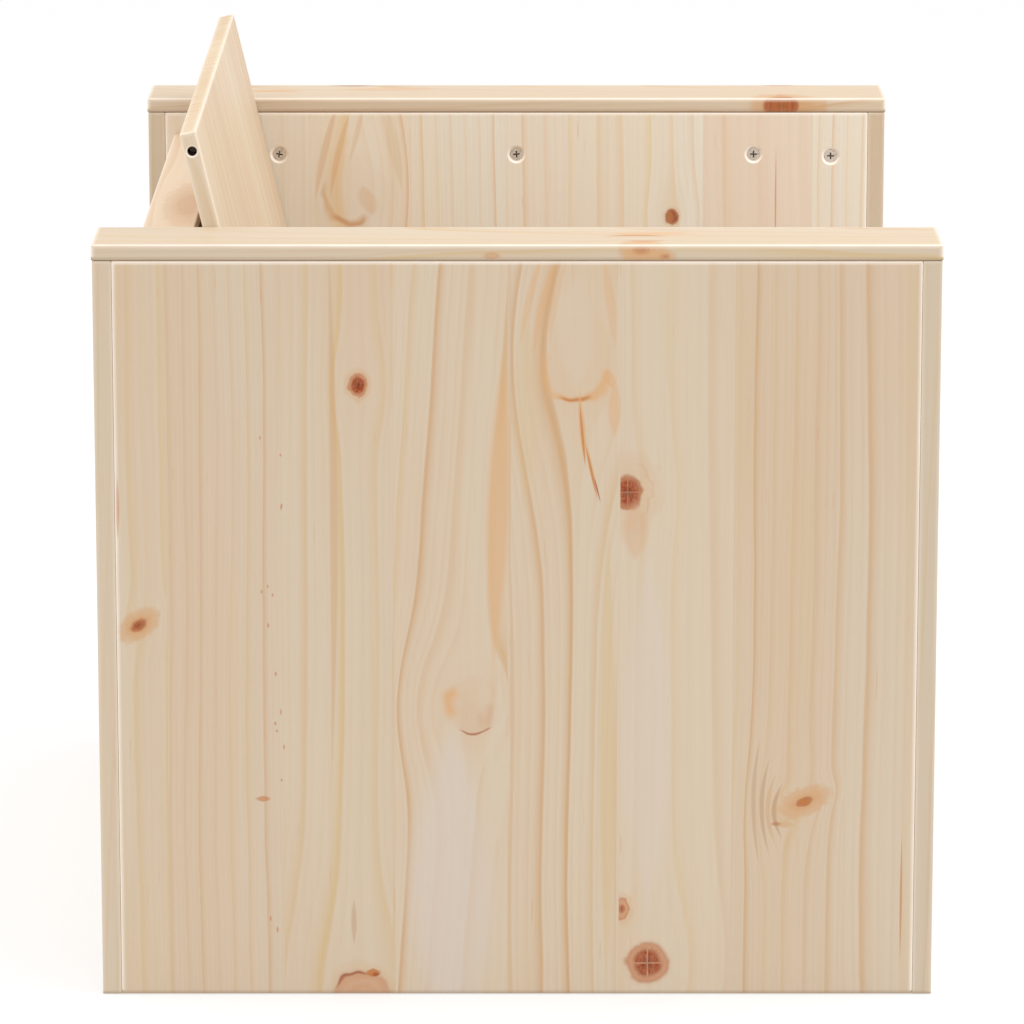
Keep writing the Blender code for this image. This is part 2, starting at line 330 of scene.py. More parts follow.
def make_knot_paint_group():
    """Stains the wood round a knot: a halo, a pinkish body with faint rings, a dark outline, a dark red
    middle and pale cracks through it."""
    names = ("Wood Colour", "Across", "Along", *KNOT_PLACE, *KNOT_PAINT)
    group, given, result = new_group("knot_paint", names, ("Colour",))
    distance = given["Distance"]
    mottle = noise(vector(given["Across"] * 900.0, given["Along"] * 500.0, 0.5), 3.0)
    outer = (distance - 0.9) / given["Reach"]
    halo = ramp(outer, [(0.0, 1.0), (0.55, 0.62), (1.0, 0.0)]) * given["Halo"]
    colour = mix(halo, given["Wood Colour"], HALO)
    rings = times_plus(calc("SINE", distance * 17.0), 0.1, 0.86)
    body = smooth(distance, 1.06, 0.9) * given["Body"]
    colour = mix(body * rings, colour, KNOT_BODY)
    outline = ramp(distance, [(0.0, 0.0), (0.8, 0.0), (0.97, 1.0), (1.0, 0.9)])
    outline = outline * smooth(distance, 1.14, 0.98) * times_plus(mottle, 1.0, 0.3)
    colour = mix(outline * given["Rim"], colour, KNOT_RIM)
    inner = times_plus(mottle - 0.5, 0.5, distance / given["Share"])
    core = smooth(inner, 1.25, 0.75) * given["Core"]
    colour = mix(clamped(core, times_plus(mottle, 1.6, 0.15)), colour, KNOT_CORE)
    colour = mix(smooth(inner, 0.55, 0.15) * given["Core"] * 0.45, colour, DARK)
    thin_u, thin_v = [smooth(calc("ABSOLUTE", given[side]), 0.055, 0.01) for side in ("DU", "DV")]
    cracks = calc("MAXIMUM", thin_u, thin_v) * smooth(inner, 1.15, 0.8)
    put(result["Colour"], mix(cracks * given["Cracks"], colour, CRACK_PALE))
    return group


def make_scar_group():
    """A stained arc on one side of a swirl of grain: the healed outline of a branch."""
    shape = ("To U", "To V", "Place", "Width", "Spread", "Strength", "Stain Colour")
    group, given, result = new_group("scar", ("Wood Colour", *KNOT_PLACE, *shape), ("Colour",))
    gap = calc("ABSOLUTE", given["Distance"] - given["Place"])
    line = smooth(gap / given["Width"], 1.0, 0.0)
    length = calc("SQRT", given["DU"] * given["DU"] + given["DV"] * given["DV"]) + 0.001
    facing = (given["DU"] * given["To U"] + given["DV"] * given["To V"]) / length
    turned = smooth((1.0 - facing) / given["Spread"], 1.0, 0.2)
    mask = line * turned * given["Strength"]
    put(result["Colour"], mix(mask, given["Wood Colour"], given["Stain Colour"]))
    return group


def make_streak_group():
    """A spindle-shaped resin streak that runs with the grain."""
    shape = ("U", "V", "Width", "Length", "Lean", "Bend", "Strength", "Stain Colour")
    group, given, result = new_group("resin_streak", ("Wood Colour", "Across", "Along", *shape), ("Colour",))
    dv = (given["Along"] - given["V"]) / given["Length"]
    bow = times_plus(dv, given["Lean"], dv * dv * given["Bend"])
    reach = calc("ABSOLUTE", given["Across"] - given["U"] - bow) / given["Width"] + dv * dv
    mask = smooth(reach, 1.0, 0.45) * given["Strength"]
    put(result["Colour"], mix(mask, given["Wood Colour"], given["Stain Colour"]))
    return group


knot_pull_group = make_knot_pull_group()
knot_paint_group = make_knot_paint_group()
scar_group = make_scar_group()
streak_group = make_streak_group()


# ---- pine recipes

# One glued stave. pith and depth place the tree's centre, lean tilts it across the stave and slope tilts it
# in depth, and spacing is the width of a year ring. strength is that of its dark lines and yellow the share
# of them that are yellow; tone, warmth and pink colour the wood between them.
Stave = namedtuple("Stave", "pith depth lean spacing strength tone warmth pink yellow seed slope",
                   defaults=(0.0,))


def knot(u, v, radius, stretch=1.2, lean=0.0, pull=0.75, core=0.85, share=0.5, body=0.85, rim=0.5,
         halo=0.4, reach=0.9, cracks=0.0, scars=(), t=0.0, thick=10.0, flow=20.0):
    """A knot at (u, v) across and along the grain. stretch is its length along the grain over its width,
    share the part of it that is dark red, and reach the width of its halo in knot radii. It runs through
    the board, unless t and thick give its middle and half height in depth. flow is how far along the grain
    it bends the year rings."""
    shape = dict(zip(KNOT_SHAPE, (u, v, t, thick, radius, stretch, lean, pull, flow)))
    paint = dict(zip(KNOT_PAINT, (core, share, body, rim, halo, reach, cracks)))
    return {**shape, **paint, "scars": scars}


def swirl(u, v, radius, stretch=1.2, pull=1.0, flow=20.0, body=0.0, halo=0.0, scars=()):
    """A bend in the year rings with no dark middle, or with a pull of 0 only what is painted there."""
    return knot(u, v, radius, stretch, 0.0, pull, 0.0, body=body, rim=0.0, halo=halo, scars=scars, flow=flow)


def scar(to_u, to_v, spread, width=0.2, strength=0.6, place=1.0, stain=HALO):
    """An arc on a knot's outline, centred on the direction (to_u, to_v)."""
    size = math.hypot(to_u, to_v)
    return {"To U": to_u / size, "To V": to_v / size, "Spread": spread, "Width": width,
            "Strength": strength, "Place": place, "Stain Colour": stain}


def streak(u, v, width, length, strength=0.7, stain=RESIN, lean=0.0, bend=0.0):
    """A streak at (u, v). width and length are halves. lean moves its upper end aside and its lower end
    the other way, and bend moves both ends aside."""
    return {"U": u, "V": v, "Width": width, "Length": length, "Lean": lean, "Bend": bend,
            "Strength": strength, "Stain Colour": stain}


def make_recipe(joints, staves, knots, streaks):
    """Everything that one board's grain is drawn from. joints are the places of the glue lines."""
    rows = [streak(*row) for row in streaks]
    return {"joints": joints, "staves": [Stave(*row) for row in staves], "knots": knots, "streaks": rows}


def plain_recipe(seed, width, length, stave_width=None, knots=1.0, strength=0.8):
    """Pine for the faces that no recipe describes: even staves, with a few small knots placed by chance."""
    chance = random.Random(seed)
    joints = []
    if stave_width:
        place = -width / 2 + stave_width * chance.uniform(0.4, 1.0)
        while place < width / 2 - 0.012:
            joints.append(place)
            place += stave_width * chance.uniform(0.94, 1.06)
    staves = []
    for _ in range(len(joints) + 1):
        away = chance.choice((-1, 1)) * chance.uniform(0.05, 0.26)
        staves.append((
            away, chance.uniform(0.02, 0.06), chance.uniform(-0.05, 0.05), chance.uniform(0.0045, 0.0085),
            strength * chance.uniform(0.6, 1.2), chance.uniform(0.97, 1.03),
            0.5 * chance.uniform(0.5, 1.5), chance.uniform(0.0, 0.35), chance.uniform(0.2, 0.8),
            chance.random(), chance.uniform(-0.09, 0.09),
        ))
    found = []
    for _ in range(round(knots * (1 + len(joints) * length * 1.6))):
        radius = chance.uniform(0.0035, 0.0095)
        found.append(knot(
            chance.uniform(-0.46, 0.46) * width, chance.uniform(-0.46, 0.46) * length, radius,
            chance.uniform(1.0, 1.5), chance.uniform(-0.4, 0.4), share=chance.uniform(0.35, 0.7),
            halo=chance.uniform(0.3, 0.7), reach=chance.uniform(0.6, 1.6),
            cracks=chance.choice((0.0, 0.0, 0.7)),
        ))
    return make_recipe(joints, staves, found, [])


def near_panel_recipe():
    """The left arm's outer panel. Across is Y and along is Z, both from the box's origin."""
    joints = [-0.196, -0.1289, -0.0611, 0.0039, 0.0734, 0.1396, 0.2067]
    staves = [
        (-0.33, 0.05, 0.0, 0.0068, 0.8, 0.99, 0.6, 0.45, 0.3, 0.11),
        (-0.3, 0.02, -0.01, 0.0047, 0.95, 0.985, 0.8, 0.3, 0.25, 0.27),
        (-0.26, 0.06, 0.0, 0.0095, 0.45, 1.01, 0.15, 0.3, 0.4, 0.43),
        (0.1264, 0.03, 0.0, 0.0068, 0.95, 1.0, 0.85, 0.05, 0.45, 0.59),
        (-0.035, 0.02, -0.06, 0.005, 1.0, 1.005, 0.3, 0.15, 0.1, 0.71),
        (0.33, 0.06, 0.005, 0.0105, 0.85, 0.99, 0.7, 0.6, 0.5, 0.83),
        (-0.33, 0.06, 0.0, 0.0078, 0.75, 0.99, 0.5, 0.45, 0.1, 0.19),
        (0.05, 0.04, 0.01, 0.0078, 0.95, 0.995, 0.75, 0.25, 0.9, 0.37),
    ]
    outline_h = (
        scar(0.9, -0.5, 0.6, 0.18, 0.6, 1.0, AMBER), scar(0.0, -1.0, 0.3, 0.2, 0.8, 1.0, AMBER),
        scar(-0.8, -0.6, 0.25, 0.26, 0.8, 1.0, AMBER), scar(0.0, -1.0, 0.16, 0.12, 0.8, 1.02, RESIN),
    )
    outline_i = (
        scar(1.0, 0.1, 0.36, 0.4, 0.85, 0.76, AMBER), scar(-0.15, -1.0, 0.22, 0.07, 0.85, 1.0, KNOT_RIM),
        scar(-0.8, -0.5, 0.3, 0.5, 0.3, 0.7, KNOT_BODY),
    )
    knots = [
        knot(0.0938, 0.3742, 0.0056, 1.22, core=0.95, share=0.74, rim=0.45, halo=0.55, reach=0.7),
        knot(-0.0655, 0.3096, 0.0082, 1.25, share=0.85, rim=0.55, halo=0.28, reach=2.0, cracks=0.3,
             scars=(scar(-1.0, 0.2, 0.9, 0.14, 0.2, 1.75, KNOT_BODY),)),
        knot(0.225, 0.2285, 0.0044, 0.95, lean=-0.5, core=0.7, share=0.8, rim=0.4, halo=1.0, reach=2.1),
        knot(-0.1719, 0.1197, 0.0042, 0.75, lean=-0.7, pull=0.95, core=0.45, share=0.9, halo=1.0, reach=3.0),
        swirl(-0.159, 0.115, 0.005, 2.0, 0.9, 9.0),
        knot(-0.0785, 0.0191, 0.0125, 1.02, share=0.68, rim=0.4, halo=0.15, reach=0.4, cracks=0.5),
        knot(-0.063, 0.0531, 0.0042, 1.6, core=0.6, share=0.4, rim=0.5, halo=0.4),
        knot(0.093, -0.004, 0.018, 1.0, core=0.0, body=0.62, rim=0.15, halo=0.3, reach=0.5,
             scars=(scar(0.45, 0.9, 0.3, 0.07, 0.75, 0.97, KNOT_CORE),)),
        swirl(-0.0345, 0.39, 0.015, 1.3, 1.02),
        swirl(0.027, 0.1795, 0.0125, 1.2, 1.0, 9.0),
        swirl(-0.0345, 0.3842, 0.019, 1.0, 0.0, halo=0.1, scars=outline_h),
        swirl(0.027, 0.1795, 0.018, 0.98, 0.0, body=0.1, halo=0.06, scars=outline_i),
    ]
    streaks = [
        (-0.078, 0.16, 0.019, 0.13, 0.45, LILAC), (0.039, 0.065, 0.035, 0.115, 0.7, LILAC),
        (0.0195, 0.3, 0.015, 0.15, 0.5, PALE), (-0.0345, 0.406, 0.015, 0.04, 0.55, PALE),
        (-0.0075, 0.427, 0.003, 0.034, 0.42, AMBER, -0.0085, -0.002),
        (-0.015, 0.423, 0.0034, 0.036, 0.48, AMBER, -0.0085, -0.003),
        (-0.0225, 0.426, 0.0026, 0.03, 0.36, AMBER, -0.006, -0.003),
        (-0.0545, 0.426, 0.004, 0.034, 0.36, AMBER, 0.004), (-0.005, 0.36, 0.01, 0.07, 0.3, LATE_YELLOW),
        (0.0112, 0.3, 0.0088, 0.108, 0.62, AMBER, -0.0036, -0.0008),
        (-0.0384, 0.348, 0.0024, 0.024, 0.9, AMBER, 0.002),
        (-0.0386, 0.344, 0.001, 0.022, 0.7, RESIN, 0.002),
        (-0.0437, 0.324, 0.0018, 0.022, 0.75, AMBER, 0.0045),
        (-0.044, 0.322, 0.001, 0.018, 0.75, RESIN, 0.004),
        (-0.0475, 0.311, 0.0006, 0.009, 0.75, KNOT_CORE, 0.0022),
        (-0.0545, 0.378, 0.0045, 0.007, 0.6, AMBER, 0.002), (-0.0575, 0.36, 0.005, 0.02, 0.5, AMBER),
        (0.0866, 0.013, 0.0058, 0.0032, 0.9), (0.0105, 0.145, 0.008, 0.06, 0.85, PALE),
        (0.0165, 0.118, 0.008, 0.045, 0.85, PALE), (0.085, 0.012, 0.0028, 0.0016, 0.6, KNOT_CORE),
        (-0.1719, 0.1197, 0.0034, 0.002, 0.95), (0.2366, 0.3, 0.0013, 0.022, 0.8),
        (-0.2306, 0.06, 0.0009, 0.045, 0.6), (0.1519, 0.1216, 0.0056, 0.0022, 0.65),
        (-0.054, 0.15, 0.0065, 0.16, 0.5, LATE_YELLOW), (0.098, 0.045, 0.0022, 0.016, 0.4, SMUDGE),
        (-0.07, 0.286, 0.01, 0.02, 0.35, HALO), (0.1085, 0.3, 0.003, 0.19, 0.5, LATE, 0.0, 0.003),
        (-0.1415, 0.12, 0.0018, 0.045, 0.4, SMUDGE, 0.0, -0.005),
        (-0.1465, 0.117, 0.0018, 0.034, 0.5, SMUDGE, 0.0, -0.006),
        (-0.15, 0.115, 0.002, 0.026, 0.5, LATE, 0.0, -0.007),
        (-0.1538, 0.114, 0.0019, 0.02, 0.55, SMUDGE, 0.0, -0.007),
        (-0.16, 0.1055, 0.008, 0.0022, 0.45, LATE), (-0.155, 0.106, 0.004, 0.0016, 0.45, KNOT_RIM),
    ]
    chance = random.Random(12)
    for _ in range(16):
        place = (chance.uniform(0.139, 0.152), chance.uniform(0.03, 0.36))
        streaks.append((*place, chance.uniform(0.0006, 0.001), chance.uniform(0.001, 0.0024), 0.65))
    return make_recipe(joints, staves, knots, streaks)


def far_panel_recipe():
    """The right arm's inner panel, seen between the arms."""
    joints = [-0.201, -0.128, -0.062, 0.006, 0.072, 0.14, 0.206]
    staves = [
        (-0.4, 0.04, 0.0, 0.006, 0.7, 1.0, 0.2, 0.1, 0.5, 0.31),
        (-0.26, 0.06, 0.01, 0.011, 0.45, 0.985, 0.2, 0.5, 0.3, 0.47),
        (-0.01, 0.05, 0.02, 0.0065, 0.9, 1.0, 0.25, 0.2, 0.7, 0.53),
        (-0.13, 0.06, 0.01, 0.0075, 0.7, 1.005, 0.2, 0.1, 0.6, 0.67),
        (0.23, 0.06, 0.02, 0.007, 0.8, 1.0, 0.25, 0.2, 0.7, 0.79),
        (0.1925, 0.02, 0.02, 0.005, 1.0, 1.0, 0.3, 0.05, 0.3, 0.91),
        (0.36, 0.06, 0.02, 0.01, 0.6, 1.005, 0.2, 0.1, 0.5, 0.13),
        (0.26, 0.06, 0.0, 0.008, 0.6, 0.99, 0.3, 0.1, 0.5, 0.23),
    ]
    outline = (scar(0.9, -0.5, 0.6, 0.22, 0.6, 1.0, AMBER), scar(0.0, -1.0, 0.35, 0.2, 0.9))
    knots = [
        knot(-0.1058, 0.3768, 0.0048, 1.1, core=0.95, share=0.85, body=1.0, rim=0.5, halo=0.3, reach=0.6),
        swirl(0.1138, 0.396, 0.014, 1.3, 1.0),
        swirl(0.1138, 0.3914, 0.017, 1.1, 0.0, halo=0.1, scars=outline),
        knot(0.03, 0.12, 0.007, 1.2, halo=0.6),
        knot(-0.165, 0.23, 0.0055, 1.3, halo=0.6),
        knot(0.175, 0.09, 0.0085, 1.1, halo=0.7, cracks=0.8),
    ]
    streaks = [
        (-0.1762, 0.385, 0.0007, 0.046, 0.6), (-0.1045, 0.3765, 0.0036, 0.005, 0.6),
        (0.101, 0.388, 0.008, 0.012, 0.32, AMBER, 0.004), (-0.105, 0.38, 0.013, 0.04, 0.1, PINK),
        (0.13, 0.423, 0.0034, 0.038, 0.45, AMBER, -0.009, -0.002),
        (0.121, 0.42, 0.003, 0.034, 0.42, AMBER, -0.008, -0.002),
        (0.108, 0.435, 0.0026, 0.024, 0.3, AMBER, -0.006),
        (0.083, 0.425, 0.005, 0.034, 0.3, LATE_YELLOW, 0.006),
    ]
    return make_recipe(joints, staves, knots, streaks)


def rail_recipe(side):
    """An arm's top rail, whose length runs along Y. Across is X, from the box's origin."""
    wood = plain_recipe(80 + side, 0.06, 0.5, knots=0.0)["staves"][0]
    wood = wood._replace(pith=side * 0.28 + 0.025, depth=0.42, warmth=0.35, pink=0.1)
    if side < 0:
        knots = [
            knot(-0.3095, -0.0725, 0.005, 1.0, core=0.45, share=0.7, body=1.0, rim=0.4, halo=1.0,
                 reach=2.4, t=0.455, thick=0.0028),
            knot(-0.31, -0.0865, 0.003, 0.9, pull=0.3, core=0.6, body=0.8, rim=0.6, halo=0.8, reach=2.0,
                 t=0.4512, thick=0.0016),
            knot(-0.31, 0.015, 0.004, 1.0, pull=0.4, core=0.0, body=0.35, rim=0.2, halo=0.4,
                 t=0.4515, thick=0.0018),
        ]
        streaks = [
            (-0.279, -0.07, 0.0035, 0.022, 0.65, RESIN, 0.0, -0.004),
            (-0.298, -0.076, 0.003, 0.014, 0.5, RESIN, 0.0, 0.003),
            (-0.272, -0.08, 0.007, 0.03, 0.6, AMBER),
            (-0.31, -0.075, 0.01, 0.015, 0.45, AMBER),
        ]
    else:
        knots = [
            knot(0.2478, -0.1797, 0.0112, 1.0, core=0.75, share=0.95, body=1.0, rim=0.6, halo=1.0,
                 reach=1.4, cracks=0.15, t=0.453, thick=0.007),
        ]
        streaks = [
            (0.283, 0.168, 0.006, 0.026, 0.85, AMBER), (0.306, 0.112, 0.003, 0.02, 0.8, KNOT_RIM),
            (0.29, 0.09, 0.006, 0.04, 0.6, AMBER), (0.25, -0.1797, 0.02, 0.0085, 0.3),
            (0.307, -0.18, 0.003, 0.014), (0.25, -0.201, 0.006, 0.011, 0.6, HALO),
        ]
    return make_recipe([], [wood], knots, streaks)


# ---- pine material


def stave_values(across, low, high, recipe):
    """The stave's own numbers at this place, read from ramps with a step at each glue joint. A ramp holds
    numbers from 0 to 1, so the others are moved or scaled into that range and back."""
    span = high - low
    factor = times_plus(across, 1.0 / span, -low / span)
    places = [0.0] + [(joint - low) / span for joint in recipe["joints"]]
    packed = (
        lambda one: (one.pith + 0.5, one.depth * 5.0, one.lean + 0.5),
        lambda one: (one.spacing * 20.0, one.strength, one.seed),
        lambda one: (one.tone / 2.0, one.warmth, one.pink),
        lambda one: (one.yellow, one.slope + 0.5, 0.0),
    )
    read = []
    for pack in packed:
        stops = [(place, pack(one)) for place, one in zip(places, recipe["staves"])]
        read += parts_of(ramp(factor, stops, "CONSTANT"))
    pith, depth, lean, spacing, strength, seed, tone, warmth, pink, yellow, slope, _ = read
    return Stave(pith - 0.5, depth / 5.0, lean - 0.5, spacing / 20.0, strength, tone * 2.0, warmth, pink,
                 yellow, seed, slope - 0.5)


def bend_grain(bent, place, low, high, recipe):
    """Bends the grain round each knot. Returns it and a list of each knot with what its group gives."""
    edges = [low - 1.0, *recipe["joints"], high + 1.0]
    knots = []
    for one in recipe["knots"]:
        index = sum(one["U"] > joint for joint in recipe["joints"])
        shape = {key: one[key] for key in KNOT_SHAPE}
        found = use_group(knot_pull_group, {**place, **shape, "Low": edges[index], "High": edges[index + 1]})
        bent = bent + found["Shift"]
        knots.append((one, {key: found[key] for key in KNOT_PLACE}))
    return bent, knots


def paint_stains(colour, across, along, knots, recipe):
    """Paints the knots, their scars, the resin streaks and the glue joints."""
    place = {"Across": across, "Along": along}
    for one, shown in knots:
        if any(one[key] for key in ("Core", "Body", "Rim", "Halo")):
            paint = {key: one[key] for key in KNOT_PAINT}
            values = {"Wood Colour": colour, **place, **shown, **paint}
            colour = use_group(knot_paint_group, values)["Colour"]
        for arc in one["scars"]:
            colour = use_group(scar_group, {"Wood Colour": colour, **shown, **arc})["Colour"]
    for one in recipe["streaks"]:
        colour = use_group(streak_group, {"Wood Colour": colour, **place, **one})["Colour"]
    for joint in recipe["joints"]:
        seam = smooth(calc("ABSOLUTE", across - joint), 0.0005, 0.0001)
        colour = mix(seam * 0.1, colour, LATE)
    return colour


def make_pine(name, recipe, low=-0.35, high=0.35, base=PALE, light=1.0, contrast=1.0, edge_wear_and_highlight=0.6):
    """Sanded pine with year rings in three dimensions, bent round its knots. low and high bound it across,
    light brightens the wood between the knots, which on the inner panels and the rear cap is painted light,
    contrast strengthens its year rings, and edge_wear_and_highlight lightens its edges, as wear and as a
    painted highlight."""
    material, shader = new_material(name)
    across, along, depth = from_mesh(material, "wood")
    edge, end, cut = from_mesh(material, "wear_and_painted_light")
    here = stave_values(across, low, high, recipe)

    def grain(fine, long, detail, seed=here.seed, roughness=0.5):
        """Noise drawn out along the grain. fine and long are features per metre across and along it."""
        place = vector(across * fine, along * long, times_plus(depth, fine, seed * 37.0))
        return noise(place, detail, roughness)

    # Where the year rings lie
    drift = grain(10.0, 2.6, 1.0)
    ripple = grain(55.0, 9.0, 2.0)
    bent = times_plus(drift - 0.5, 0.016, across)
    bent = times_plus(ripple - 0.5, 0.003, bent)
    place = {"Across": across, "Along": along, "Depth": depth}
    bent, knots = bend_grain(bent, place, low, high, recipe)
    from_pith = bent - here.pith - along * here.lean
    below = times_plus(along, here.slope, here.depth - depth)
    age = calc("SQRT", from_pith * from_pith + below * below) / here.spacing
    age = times_plus(here.seed, 91.0, age)
    season = calc("FRACT", age)
    late = ramp(season, [(0.0, 0.0), (0.55, 0.04), (0.8, 0.32), (0.91, 1.0), (0.955, 0.8), (1.0, 0.0)])
    year = add_node("ShaderNodeTexWhiteNoise", {"W": calc("FLOOR", age)}, noise_dimensions="1D")
    year_strength, year_hue, _ = parts_of(Value(year.outputs["Color"]))
    late = late * times_plus(year_strength, 0.75, 0.3)
    minor = calc("FRACT", times_plus(age, 3.0, 0.37))
    minor = ramp(minor, [(0.0, 0.0), (0.5, 0.2), (0.85, 1.0), (1.0, 0.0)])
    late = clamped(times_plus(minor, 0.16, late) * here.strength, 0.8 * contrast)

    # Colour of the wood between the knots
    warm = smooth(grain(18.0, 2.0, 2.0), 0.32, 0.68) * here.warmth
    rosy = smooth(grain(12.0, 1.6, 1.0, here.seed + 0.4), 0.38, 0.66) * here.pink
    colour = mix(rosy, mix(warm, base, WARM), PINK)
    line = mix(smooth(year_hue + here.yellow, 0.75, 1.25), LATE, LATE_YELLOW)
    colour = mix(late, colour, line)
    fibre = grain(1500.0, 28.0, 2.0, roughness=0.6)
    strand = grain(320.0, 5.0, 2.0)
    change = times_plus(strand - 0.5, 0.08, (fibre - 0.5) * 0.07)
    tone = here.tone * light
    tones = [times_plus(change, rate, tone) for rate in (0.5, 1.0, 1.5)]
    colour = mix(1.0, colour, vector(*tones), "MULTIPLY")
    duct = smooth(grain(620.0, 24.0, 1.0, here.seed + 0.7), 0.745, 0.81)
    colour = mix(duct * 0.22, colour, RESIN)
    colour = paint_stains(colour, across, along, knots, recipe)

    # Ends, eased edges and drilled holes. The eased edges are lightened as wear and as a painted highlight
    edge_wear_and_highlight_rate = times_plus(grain(60.0, 35.0, 3.0), 0.6 * edge_wear_and_highlight, 0.85 * edge_wear_and_highlight)
    colour = mix(end * 0.3, colour, LATE_YELLOW)
    colour = mix(clamped(edge, edge_wear_and_highlight_rate), colour, FRESH_WOOD_AND_HIGHLIGHT)
    # Painted shade on the lower edges
    colour = mix(clamped(edge, -0.8), colour, FOOT_SHADE)
    # Hole mouths are lightened as fresh wood and as a painted highlight
    colour = mix(clamped(cut, 0.95), colour, FRESH_WOOD_AND_HIGHLIGHT)
    # Painted shade down the bores
    colour = mix(clamped(cut, -0.85), colour, DARK)
    put(shader.inputs["Base Color"], colour)

    # Surface
    rough = times_plus(late, -0.1, times_plus(fibre, 0.14, 0.46))
    put(shader.inputs["Roughness"], times_plus(edge, 0.06, rough))
    shader.inputs["Specular IOR Level"].default_value = 0.22
    add_bump(shader, times_plus(late, 0.9, fibre * 0.55), 0.3, 0.00025)
    return material


def object_pine(pine, name):
    """A copy of a pine that reads the object's own coordinates, for a CAD node kept as it is."""
    copy = pine.copy()
    copy.name = name
    x, y, z = from_object(copy)
    for node in [node for node in copy.node_tree.nodes if node.type == "ATTRIBUTE"]:
        if node.attribute_name == "wood":
            for target in [link.to_socket for link in node.outputs["Vector"].links]:
                put(target, vector(y, x, z))
    return copy


def make_steel(name, colour, roughness):
    """Zinc-plated steel with fine turning marks, a little dulling and painted shade in the recess."""
    material, shader = new_material(name)
    place = from_object(material)
    dull = noise(vector(*(part * 600.0 for part in place)), 3.0)
    fine = noise(vector(*(part * 3200.0 for part in place)), 2.0)
    plated = mix(smooth(dull, 0.35, 0.75), colour, tuple(part * 0.7 for part in colour))
    _, _, cut = from_mesh(material, "wear_and_painted_light")
    # Painted shade in the cross recess
    put(shader.inputs["Base Color"], mix(clamped(cut, -0.65), plated, DARK))
    put(shader.inputs["Roughness"], times_plus(dull, 0.25, roughness))
    shader.inputs["Metallic"].default_value = 0.85
    add_bump(shader, fine, 0.25, 0.0001)
    return material


# ---- board meshes


def to_mesh(bm, name):
    mesh = bpy.data.meshes.new(name)
    bm.to_mesh(mesh)
    bm.free()
    return mesh


def shade(mesh):
    mesh.shade_smooth()
    mesh.set_sharp_from_angle(angle=SHARP_ANGLE)


def store(mesh, name, domain, values):
    """Stores one vector for each vertex or face corner."""
    layer = mesh.attributes.new(name, "FLOAT_VECTOR", domain)
    layer.data.foreach_set("vector", values.astype(np.float32).ravel())


def corners_of(face):
    return slice(face.loop_start, face.loop_start + face.loop_total)


def grid_lines(half, radius):
    """Grid lines along one axis: over the rounded edge, at a support line inside it, then evenly."""
    middle = radius * math.tan(math.pi / 8)
    support = min(EDGE_SUPPORT, (half - radius) / 2)
    inner = half - radius - support
    count = max(1, round(2 * inner / GRID_STEP))
    even = [-inner + 2 * inner * step / count for step in range(count + 1)]
    edge = [half - radius, half - radius + middle, half]
    return [-place for place in reversed(edge)] + even + edge


def rounded_board_mesh(name, size, radius, seed):
    """A closed grid of quads in the shape of a board, centred on its middle, with every edge rounded."""
    lines = [grid_lines(length / 2, radius) for length in size]
    last = [len(axis) - 1 for axis in lines]
    bm = bmesh.new()
    made = {}

    def vertex(key):
        if key not in made:
            made[key] = bm.verts.new([lines[axis][key[axis]] for axis in range(3)])
        return made[key]

    for axis in range(3):
        first, second = (axis + 1) % 3, (axis + 2) % 3
        for level in (0, last[axis]):
            for i in range(last[first]):
                for j in range(last[second]):
                    corners = []
                    for di, dj in ((0, 0), (1, 0), (1, 1), (0, 1)):
                        key = [0, 0, 0]
                        key[axis], key[first], key[second] = level, i + di, j + dj
                        corners.append(vertex(tuple(key)))
                    bm.faces.new(corners if level else corners[::-1])
    core = [length / 2 - radius for length in size]
    for vert in bm.verts:
        inner = Vector([max(-limit, min(limit, part)) for part, limit in zip(vert.co, core)])
        out = vert.co - inner
        vert.co = inner + out.normalized() * radius
        wave = sum(math.sin(part * rate + seed) for part, rate in zip(inner, (61.0, 47.0, 83.0)))
        vert.co -= out.normalized() * HAND_SANDING * (1.0 + wave / 3.0) / 2.0
    return to_mesh(bm, name)


def turned_mesh(name, profile, segments=HOLE_SEGMENTS):
    """A closed solid turned about X from (x, radius) pairs. A radius of 0 closes it in a point."""
    bm = bmesh.new()
    rings = []
    for x, radius in profile:
        if radius == 0:
            rings.append([bm.verts.new((x, 0.0, 0.0))] * segments)
            continue
        angles = (2 * math.pi * step / segments for step in range(segments))
        rings.append([bm.verts.new((x, radius * math.cos(a), radius * math.sin(a))) for a in angles])
    for first, second in zip(rings, rings[1:]):
        for step in range(segments):
            following = (step + 1) % segments
            corners = (first[step], first[following], second[following], second[step])
            bm.faces.new(list(dict.fromkeys(corners)))
    for ring in (rings[0], rings[-1]):
        if ring[0] is not ring[1]:
            bm.faces.new(ring)
    bmesh.ops.recalc_face_normals(bm, faces=bm.faces)
    return to_mesh(bm, name)


def add_object(name, data):
    obj = bpy.data.objects.new(name, data)
    bpy.context.scene.collection.objects.link(obj)
    return obj


def cut_away(mesh, cutters):
    """The mesh with the cutters' solids taken out of it. cutters are (mesh, location) pairs."""
    obj = add_object("being_cut", mesh)
    tools = []
    for index, (cutter, location) in enumerate(cutters):
        tool = add_object(f"cutter_{index}", cutter)
        tool.location = location
        modifier = obj.modifiers.new(f"cut_{index}", "BOOLEAN")
        modifier.operation = "DIFFERENCE"
        modifier.solver = "EXACT"
        modifier.object = tool
        tools.append(tool)
    bpy.context.view_layer.update()
    graph = bpy.context.evaluated_depsgraph_get()
    result = bpy.data.meshes.new_from_object(obj.evaluated_get(graph))
    for one in [obj, *tools]:
        bpy.data.objects.remove(one, do_unlink=True)
    return result


